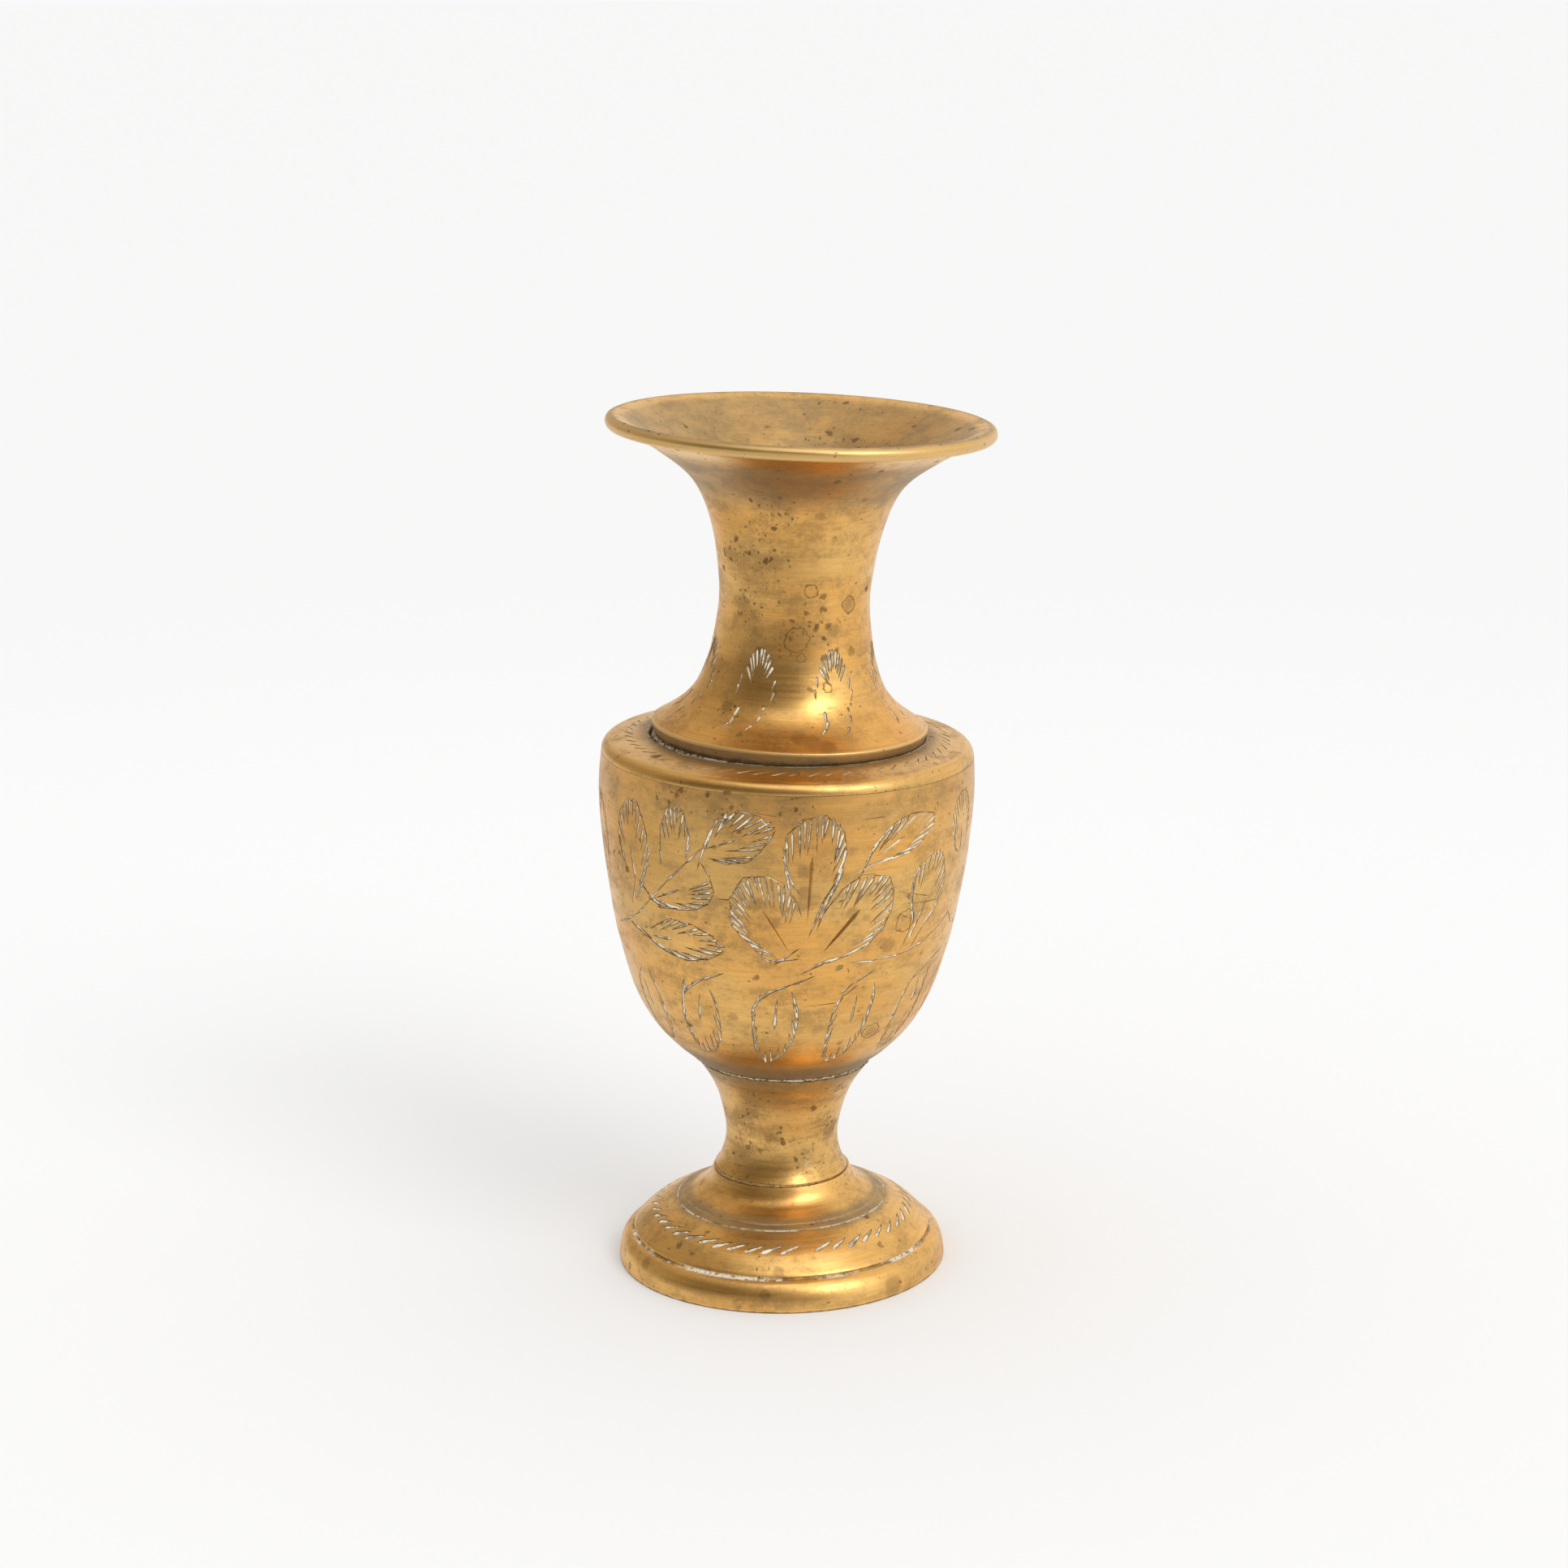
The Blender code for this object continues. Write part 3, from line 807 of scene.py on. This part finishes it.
GOLDEN = (0.76, 0.465, 0.155)
AMBER = (0.78, 0.41, 0.11)
BROWN = (0.34, 0.21, 0.085)
PATCH = (0.36, 0.21, 0.08)
TARNISH_AND_SHADE = (0.27, 0.195, 0.105)
DARK = (0.085, 0.055, 0.026)
STAIN_AND_SHADE = (0.17, 0.105, 0.045)
POLISHED = (0.93, 0.66, 0.29)
RESIDUE = (0.90, 0.84, 0.70)
VERDIGRIS = (0.50, 0.56, 0.42)

# Depths in mm between which a cut's edge turns dark with dirt and painted shade, and between which
# residue and a painted glint fill it.
CUT_EDGE = (0.003, 0.02)
CUT_FILL = (0.06, 0.105)

# How far spots and patches stray from a round shape, and the depth of the turning marks.
RAGGED = 0.0008
TURNING_DEPTH = 0.000012
SOLDER_RELIEF = 0.00005


def tinted(colour, tone=1.0):
    return [c * tone for c in colour] + [1]


def brushed(n, position, along):
    """Turning marks: fine lines that run round the axis."""
    parts = n.add("ShaderNodeSeparateXYZ", None, Vector=position).outputs

    def lines(spread_out, per_mm, detail):
        at = n.add("ShaderNodeCombineXYZ", None, X=n.math("MULTIPLY", parts[0], spread_out),
                   Y=n.math("MULTIPLY", parts[1], spread_out),
                   Z=n.math("MULTIPLY", along, per_mm)).outputs[0]
        return n.noise(at, 1.0, detail, 0.75)

    return lines(55.0, 1.6, 5), lines(120.0, 7.0, 3)


def freckles(n, position, per_metre, clusters, amount):
    """Small dark spots, few where the cluster mask is low and crowded where it is high."""
    cells = n.add("ShaderNodeTexVoronoi", None, Vector=position, Scale=per_metre)
    pick = n.add("ShaderNodeSeparateColor", None, Color=cells.outputs["Color"]).outputs
    size = n.plus(0.14, (pick[1], 0.26))
    share = n.math("DIVIDE", cells.outputs["Distance"], size)
    body = n.inverse(n.ramp(share, 0.55, 1.0))
    chance = n.plus(pick[0], (clusters, 0.75))
    return n.product(body, n.ramp(chance, 1.0 - amount, 1.06 - amount))


def near_spots(n, position, places):
    """1 close to any of the (point, radius in mm) places, 0 away from them."""
    total = 0.0
    for point, radius in places:
        gap = n.vector("DISTANCE", position, tuple(point))
        mask = n.inverse(n.ramp(gap, 0.45 * radius * MM, 1.1 * radius * MM))
        total = n.math("MAXIMUM", total, mask)
    return total


def tide_marks(n, position, places):
    """Thin dark outlines left by dried drops, around (point, radius in mm) places."""
    total = 0.0
    for point, radius in places:
        gap = n.vector("DISTANCE", position, tuple(point))
        inner = n.ramp(gap, (radius - 0.28) * MM, radius * MM)
        outer = n.ramp(gap, radius * MM, (radius + 0.2) * MM)
        total = n.math("MAXIMUM", total, n.math("SUBTRACT", inner, outer))
    return total


def ground(n, wall, seed):
    """What one casting's finish is mixed from: the mesh's own values, and noises."""
    g = SimpleNamespace()
    for key in ("along", "cut", "burnished", "bend", "dirt"):
        node = n.add("ShaderNodeAttribute", {"attribute_name": key})
        setattr(g, key, node.outputs["Fac"])
    position = n.add("ShaderNodeTexCoord").outputs["Object"]
    place = n.vector("ADD", position, (seed, seed * 0.7, 0))
    wobble = n.add("ShaderNodeTexNoise", None, Vector=place, Scale=700.0, Detail=3.0)
    ragged = n.vector("MULTIPLY_ADD", wobble.outputs["Color"], (2 * RAGGED,) * 3, position)
    g.ragged = n.vector("SUBTRACT", ragged, (RAGGED,) * 3)
    wiped = n.vector("MULTIPLY", place, (0.6, 0.6, 1.5))
    g.broad = n.noise(wiped, 42, 3)
    g.cloudy = n.noise(wiped, 190, 5, 0.62)
    g.blotch = n.noise(place, 520, 4, 0.65)
    g.grain = n.noise(place, 1500, 4, 0.7)
    g.fine = n.noise(place, 2600, 2, 0.6)
    g.streaks, g.hairs = brushed(n, place, g.along)
    g.hollow = n.ramp(g.along, wall.length + 1.5, wall.length + 3.5)
    return g


def patina(n, g, wall, tone, grime, orange, inside, tarnish_and_shade_bands):
    """Golden brass under a brown veil: darker tarnish inside and painted shade in bands, bright on
    edges.
    """
    colour = n.mix(n.product(n.ramp(g.broad, 0.38, 0.62), orange),
                   tinted(GOLDEN, tone), tinted(AMBER, tone))
    thick = n.plus(n.math("SUBTRACT", g.cloudy, 0.9), (g.blotch, 0.5), (g.streaks, 0.6),
                   (g.grain, 0.7), (g.cluster, 0.11))
    veil = n.product(n.ramp(thick, 0.38, 0.76), grime)
    veil = n.math("MAXIMUM", n.plus(veil, (n.ramp(g.bend, 0.15, 0.7), -0.5)), 0.0)
    tarnish_and_shade = n.product(g.hollow, inside)
    # Bands darkened to the tarnish colour: mostly painted shade where shade falls, such as under
    # the lip and under the bowl.
    for height, half, amount in tarnish_and_shade_bands:
        gap = n.math("ABSOLUTE", n.math("SUBTRACT", g.along, wall.at_height(height)))
        band = n.product(n.inverse(n.ramp(gap, 0.3 * half, half)), amount)
        tarnish_and_shade = n.math("MAXIMUM", tarnish_and_shade, band)
    tarnish_and_shade = n.math("MULTIPLY", tarnish_and_shade, n.math("ADD", 0.5, thick), clamp=True)
    colour = n.mix(veil, colour, tinted(BROWN, tone))
    colour = n.mix(tarnish_and_shade, colour, tinted(TARNISH_AND_SHADE, tone))
    lively = n.plus(0.24, (g.streaks, 0.78), (g.grain, 0.34), (g.hairs, 0.40))
    colour = n.add("ShaderNodeVectorMath", {"operation": "SCALE"}, i0=colour,
                   Scale=lively).outputs[0]
    worn = n.product(n.ramp(g.bend, 0.25, 0.9), 0.4)
    return n.mix(worn, colour, tinted(POLISHED, tone)), veil, tarnish_and_shade, worn


def spotted(n, g, colour, tone, spots, patches, marks):
    """Adds brown patches, freckles, tide marks and the grime of grooves and joints."""
    tan = n.product(near_spots(n, g.ragged, patches), 0.6)
    colour = n.mix(tan, colour, tinted(PATCH, tone))
    specks = freckles(n, g.ragged, 430.0, g.cluster, spots)
    colour = n.mix(n.product(specks, 0.6), colour, tinted(STAIN_AND_SHADE))
    dark = n.product(freckles(n, g.ragged, 1100.0, g.cluster, spots * 1.6), 0.55)
    dark = n.math("MAXIMUM", dark, n.product(tide_marks(n, g.ragged, marks), 0.6))
    grubby = n.ramp(n.plus(-0.45, (g.dirt, 0.75), (g.blotch, 0.9)), 0.25, 0.75)
    dark = n.math("MAXIMUM", dark, n.product(grubby, 0.72))
    return n.mix(dark, colour, tinted(DARK)), dark, specks


def residue_in_cuts(n, g, colour, chalked, residue):
    """Adds the dark edge of each cut, dirt with painted shade, and the pale polish that dried in
    cuts and grooves, in the cuts also a painted glint.
    """
    # The dark edge of a cut is dirt in it and painted shade of its walls.
    edge = n.product(n.plus(0.85, (g.burnished, -0.6)), n.ramp(g.cut, *CUT_EDGE))
    colour = n.mix(edge, colour, tinted(STAIN_AND_SHADE, 0.8))
    filled = n.plus(0.4, (n.ramp(g.blotch, 0.40, 0.56), 0.6))
    # The pale fill of a cut is dried polish and a painted glint at its deep nose.
    residue_and_glint = n.product(n.ramp(g.cut, *CUT_FILL), n.ramp(g.grain, 0.28, 0.43),
                      n.inverse(g.burnished), filled)
    crust = n.product(n.ramp(g.grain, 0.40, 0.50), n.ramp(g.cloudy, 0.44, 0.54),
                      n.ramp(g.dirt, 0.3, 0.7), n.ramp(g.along, 0.8, 1.6))
    smear = n.product(near_spots(n, g.ragged, chalked), n.ramp(g.grain, 0.42, 0.55))
    crust = n.math("MAXIMUM", crust, smear)
    residue_and_glint = n.math("MAXIMUM", residue_and_glint, n.product(crust, residue))
    return n.mix(residue_and_glint, colour, tinted(RESIDUE)), residue_and_glint


def brass(name, wall, tone, grime, spots, orange, seed, tarnish_and_shade_bands, inside=0.5, clusters=(),
          patches=(), marks=(), chalked=(), residue=0.3):
    """Aged, hand-finished brass: turning marks, mottled patina, spots, and cuts with dirt and
    painted shade at their edges and residue with painted glints in them.

    clusters, patches, marks and chalked list (point, radius in mm) places; the bands list
    (height, half width, amount) places darkened to the tarnish colour, most of them painted
    shade where shade falls; residue is how white the crusts in grooves are.
    """
    n = Nodes(bpy.data.materials.new(name))
    g = ground(n, wall, seed)
    g.cluster = near_spots(n, g.ragged, clusters)
    colour, veil, tarnish_and_shade, worn = patina(n, g, wall, tone, grime, orange, inside, tarnish_and_shade_bands)
    colour, dark, specks = spotted(n, g, colour, tone, spots, patches, marks)
    colour, residue_and_glint = residue_in_cuts(n, g, colour, chalked, residue)

    rough = n.plus(0.25, (n.math("MAXIMUM", veil, tarnish_and_shade), 0.26), (g.streaks, 0.10),
                   (n.math("MAXIMUM", dark, specks), 0.3), (worn, -0.08), (residue_and_glint, 0.4))
    relief = n.plus(n.product(g.streaks, 1.7), (g.hairs, 0.7), (g.fine, 0.2), (dark, -0.6),
                    (g.cloudy, 2.5))
    metal = n.plus(1.0, (tarnish_and_shade, -0.3), (residue_and_glint, -0.85))
    n.surface(Base_Color=colour, Roughness=n.math("MINIMUM", rough, 1.0),
              Metallic=n.math("MAXIMUM", metal, 0.0), Normal=n.bump(relief, TURNING_DEPTH))
    return n.owner


def old_solder(name, chalky):
    """Dull brown solder; chalky (0 to 1) is how much of it is crusted white and green."""
    n = Nodes(bpy.data.materials.new(name))
    position = n.add("ShaderNodeTexCoord").outputs["Object"]
    cloudy = n.noise(position, 230, 4)
    blotch = n.noise(position, 1500, 3, 0.7)
    colour = n.mix(n.ramp(blotch, 0.35, 0.6), tinted(BROWN, 0.9 - 0.5 * chalky),
                   tinted(GOLDEN, 0.8 - 0.4 * chalky))
    crust = n.product(n.ramp(blotch, 0.60 - 0.2 * chalky, 0.66 - 0.2 * chalky), chalky)
    colour = n.mix(crust, colour, tinted(RESIDUE, 0.8))
    green = n.product(n.ramp(cloudy, 0.62, 0.68), chalky)
    colour = n.mix(green, colour, tinted(VERDIGRIS))
    n.surface(Base_Color=colour, Metallic=n.plus(0.8, (crust, -0.8)),
              Roughness=n.plus(0.45, (blotch, 0.3)), Normal=n.bump(blotch, SOLDER_RELIEF))
    return n.owner


# ------------------------------------------------------------------ studio

FLOOR_HALF = 9.0
NEAR_PAPER = (0.92, 0.92, 0.918, 1)
FAR_PAPER = (0.88, 0.88, 0.878, 1)
SHADED_PAPER = (0.30, 0.25, 0.18, 1)
WHITE = (1, 1, 1, 1)
DIM_ROOM = (1.0, 0.80, 0.52, 1)
ROOM_LIGHT = 0.945


def paper():
    """Pale floor. The brass mirrors it darker close in front and to the left."""
    n = Nodes(bpy.data.materials.new("white_paper"))
    place = n.add("ShaderNodeTexCoord").outputs["Object"]
    distance = n.vector("LENGTH", place)
    shade = 0.0
    for aim, near, far in (((-0.35, -1, 0), 0.06, 0.35), ((-1, 0, 0), 0.08, 0.35)):
        out = n.vector("DOT_PRODUCT", place, tuple(Vector(aim).normalized()))
        shade = n.math("MAXIMUM", shade, n.ramp(out, near, far))
    mirrored = n.add("ShaderNodeLightPath").outputs["Is Glossy Ray"]
    shade = n.product(shade, mirrored, n.plus(1.0, (n.ramp(distance, 0.24, 0.42), -0.8)))
    # The sheet is painted a little darker far from the vase: painted shade of a paper sweep.
    sheet = n.mix(n.ramp(distance, 0.12, 0.7), NEAR_PAPER, FAR_PAPER)
    n.surface(Base_Color=n.mix(shade, sheet, SHADED_PAPER), Roughness=0.9,
              Specular_IOR_Level=0.1)
    return n.owner


def studio():
    """Pale floor, white surroundings, one soft key from the right and the photo's view."""
    corners = [(-1, -1), (1, -1), (1, 1), (-1, 1)]
    data = bpy.data.meshes.new("floor")
    data.from_pydata([(FLOOR_HALF * x, FLOOR_HALF * y, 0) for x, y in corners], [],
                     [(0, 1, 2, 3)])
    floor = bpy.data.objects.new("floor", data)
    bpy.context.scene.collection.objects.link(floor)
    data.materials.append(paper())

    key_light()
    surroundings()

    view = bpy.context.scene.view_settings
    view.view_transform = "Standard"
    view.look = "None"
    photo_camera()


def key_light():
    """Broad, distant key from the photographer's right, so the floor stays even."""
    lamp = bpy.data.lights.new("key", "SUN")
    lamp.energy = 0.62
    lamp.angle = math.radians(28)
    thing = bpy.data.objects.new("key", lamp)
    thing.rotation_euler = (math.radians(50), 0, math.radians(42))
    bpy.context.scene.collection.objects.link(thing)


def surroundings():
    """Even white room. Reflections see it dim at the camera and the left, with two lamps."""
    world = bpy.data.worlds.new("studio")
    bpy.context.scene.world = world
    n = Nodes(world, "Background")
    direction = n.add("ShaderNodeTexCoord").outputs["Generated"]

    def toward(aim, low, high, away, facing):
        """away far from the aim, facing towards it; low and high are cosines."""
        aligned = n.vector("DOT_PRODUCT", direction, tuple(Vector(aim).normalized()))
        return n.ramp(aligned, low, high, away, facing)

    room = toward((-0.35, -1, -0.05), 0.0, 0.93, 0.98, 0.20)
    left = toward((-1, 0.15, 0.1), 0.0, 0.9, 1.0, 0.46)
    overhead = toward((0.12, -0.35, 1), 0.86, 0.97, 0.0, 0.75)
    right_lamp = toward((0.8, -0.62, 0.45), 0.86, 0.98, 0.0, 0.55)
    seen = n.math("ADD", n.math("ADD", n.product(room, left), overhead), right_lamp)
    bright = n.add("ShaderNodeMapRange", None, Value=seen, From_Min=0.15, From_Max=1.3)
    mirrored = n.add("ShaderNodeLightPath").outputs["Is Glossy Ray"]
    whiteness = n.math("MAXIMUM", n.inverse(mirrored), bright.outputs[0])
    strength = n.add("ShaderNodeMix", None, i0=mirrored, i2=ROOM_LIGHT, i3=seen)
    n.surface(Color=n.mix(whiteness, DIM_ROOM, WHITE), Strength=strength.outputs[0])


def photo_camera():
    """Camera slightly above the vase, looking down at it, with a very slight roll."""
    lens = bpy.data.cameras.new("camera")
    lens.lens = 78.17
    lens.sensor_width = 36
    lens.clip_end = 50
    aim_x = FOOT_X + 1.05
    eye = Vector((aim_x, -567.7, 230.8)) * MM
    look = Vector((aim_x, 0, 85.7)) * MM
    camera = bpy.data.objects.new("camera", lens)
    turned = (look - eye).to_track_quat("-Z", "Y").to_matrix().to_4x4()
    roll = Matrix.Rotation(math.radians(-0.45), 4, "Z")
    camera.matrix_world = Matrix.Translation(eye) @ turned @ roll
    bpy.context.scene.collection.objects.link(camera)
    bpy.context.scene.camera = camera


# ------------------------------------------------------------------ stains

def spots_on(wall, rows, inward=0.0):
    """Turn (degrees from the front, height, radius) rows into (point, radius) places."""
    return [(wall.spot(turn, height, inward), size) for turn, height, size in rows]


def neck_marks(wall):
    """Where the neck and the inside of the mouth are stained."""
    inner = 1.6
    clusters = spots_on(wall, ((-14, 135.4, 5), (-28, 127.4, 7), (-45, 126.4, 5),
                               (-36, 119.4, 4), (-27, 111.4, 4), (8, 115.4, 6),
                               (22, 114.4, 4), (-39, 102, 2)))
    clusters += spots_on(wall, ((153, 140.9, 5), (175, 140.4, 4), (131, 141.4, 4),
                                (165, 143.4, 2)), inner)
    patches = spots_on(wall, ((4.5, 98.8, 2.0), (9.5, 98.3, 2.3), (15.5, 97.7, 2.0),
                              (44.2, 119.4, 1.5), (12.8, 135.2, 1.1), (1.1, 131.6, 0.7),
                              (-12.4, 137.5, 1.2), (-38.9, 119.6, 0.9), (-39.3, 102, 1.2),
                              (30, 115.3, 1.4)))
    patches += spots_on(wall, ((150, 140.2, 2.6), (156, 142.4, 1.8), (168, 139.6, 2.2),
                               (135, 140.6, 2.0)), inner)
    marks = spots_on(wall, ((11.5, 122.1, 1.2), (2.2, 113.8, 2.1), (23.3, 105.9, 0.9),
                            (5.5, 110.6, 0.8), (44.2, 119.4, 1.4)))
    return dict(clusters=clusters, patches=patches, marks=marks)


def bowl_marks(wall):
    """A pit beside the flower, stains in the petals and below, tide marks, and painted shade along
    the top under the shoulder's corner.
    """
    return dict(
        # The three clusters along the top are painted shade under the shoulder's corner: a thicker
        # veil and more freckles there.
        clusters=spots_on(wall, ((-38, 89.5, 4), (-18, 90, 5), (2, 90.5, 4), (-62, 75, 4))),
        patches=spots_on(wall, ((18.4, 61.7, 0.6), (17.2, 61.6, 0.5), (35.5, 64.4, 1.6),
                                (-43.4, 52.3, 1.0), (-18.1, 51.9, 1.0), (36.3, 48.0, 1.5),
                                (5.2, 79, 1.5), (5.4, 75.5, 1.3), (-8.5, 73, 1.6),
                                (-3, 70, 1.3), (21, 71.5, 1.3))),
        marks=spots_on(wall, ((18.2, 61.7, 0.35), (41.3, 68.4, 2.0), (36.3, 48.0, 1.7))))


def stem_marks(wall):
    """Brown blotches on both sides, black pits and a smear of pale residue at the lower right."""
    return dict(
        clusters=spots_on(wall, ((-27, 32, 3), (-34, 28.5, 4), (55, 24.6, 3), (-11, 25, 3),
                                 (-46, 20.7, 3), (25, 20.5, 3))),
        patches=spots_on(wall, ((48, 33.8, 1.3), (55, 24.6, 2.0), (-30, 29, 1.6),
                                (-12, 24.8, 1.4))),
        marks=spots_on(wall, ((0, 26.7, 0.2), (-35, 22.3, 0.3), (-33, 23.2, 0.2))),
        chalked=spots_on(wall, ((27, 19.7, 0.7), (31, 20.1, 0.6))))


def foot_marks(wall):
    """Round stains on the upright edge and a dark nick at its lower left."""
    return dict(
        patches=spots_on(wall, ((-57.6, 3.7, 1.4), (42, 2.0, 2.2), (-6, 3.2, 1.2),
                                (-1, 6.2, 1.3), (-68, 1.6, 1.0), (-15, 0.8, 0.8))),
        marks=spots_on(wall, ((-38.8, 7.2, 0.25), (-68, 1.6, 0.5))))


# ------------------------------------------------------------------ assembly

# Each casting: its CAD node, wall, stains (or None) and the numbers of its finish.
# Most darkened bands below are painted shade: under the bowl and on the stem's top beneath it, on
# the bowl under the shoulder's corner, over the shoulder's top, on the neck's band and under its
# lip. The foot's band and the two on the lip only darken them.
CASTINGS = (
    ("foot", foot_wall, foot_marks,
     dict(tone=1.08, grime=0.62, spots=0.08, orange=0.5, seed=0.3, residue=0.85,
          tarnish_and_shade_bands=((11.4, 2.8, 0.7),))),
    ("stem", stem_wall, stem_marks,
     dict(tone=1.0, grime=0.7, spots=0.12, orange=0.3, seed=0.7, tarnish_and_shade_bands=((36.7, 4.5, 0.6),))),
    ("bowl", bowl_wall, bowl_marks,
     dict(tone=1.03, grime=0.62, spots=0.07, orange=0.9, seed=1.1,
          tarnish_and_shade_bands=((37.4, 9, 0.95), (90.5, 7, 0.2)))),
    ("shoulder", shoulder_wall, None,
     dict(tone=0.98, grime=0.7, spots=0.1, orange=0.2, seed=1.9, tarnish_and_shade_bands=((94.4, 5, 0.8),))),
    ("neck", neck_wall, neck_marks,
     dict(tone=1.06, grime=0.62, spots=0.1, orange=0.85, seed=2.3,
          tarnish_and_shade_bands=((141, 9, 0.7), (95.4, 2.4, 0.8), (148.9, 1.3, 0.55), (147.4, 1.6, 0.3)))),
)
EXPOSED_SEAMS = ("bowl_solder_seam", "neck_solder_seam")


def settle(piece, material, slot, *nodes):
    """Give a piece its finish and let it stand for its CAD nodes."""
    piece.data.materials.append(material)
    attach(piece, "root")
    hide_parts(*nodes)


def build():
    for node, make, stains, look in CASTINGS:
        wall, rows, strokes = make()
        piece = build_wall(wall, strokes, rows)
        stained = stains(wall) if stains else {}
        finish = brass(f"{node}_aged_brass", wall, **look, **stained)
        settle(piece, finish, f"{node}_brass", node)
    flush = old_solder("flush_solder", 0.1)
    crusted = old_solder("crusted_solder", 0.65)
    for node, piece in solder_beads():
        settle(piece, crusted if node in EXPOSED_SEAMS else flush, "solder", node)


build()
studio()
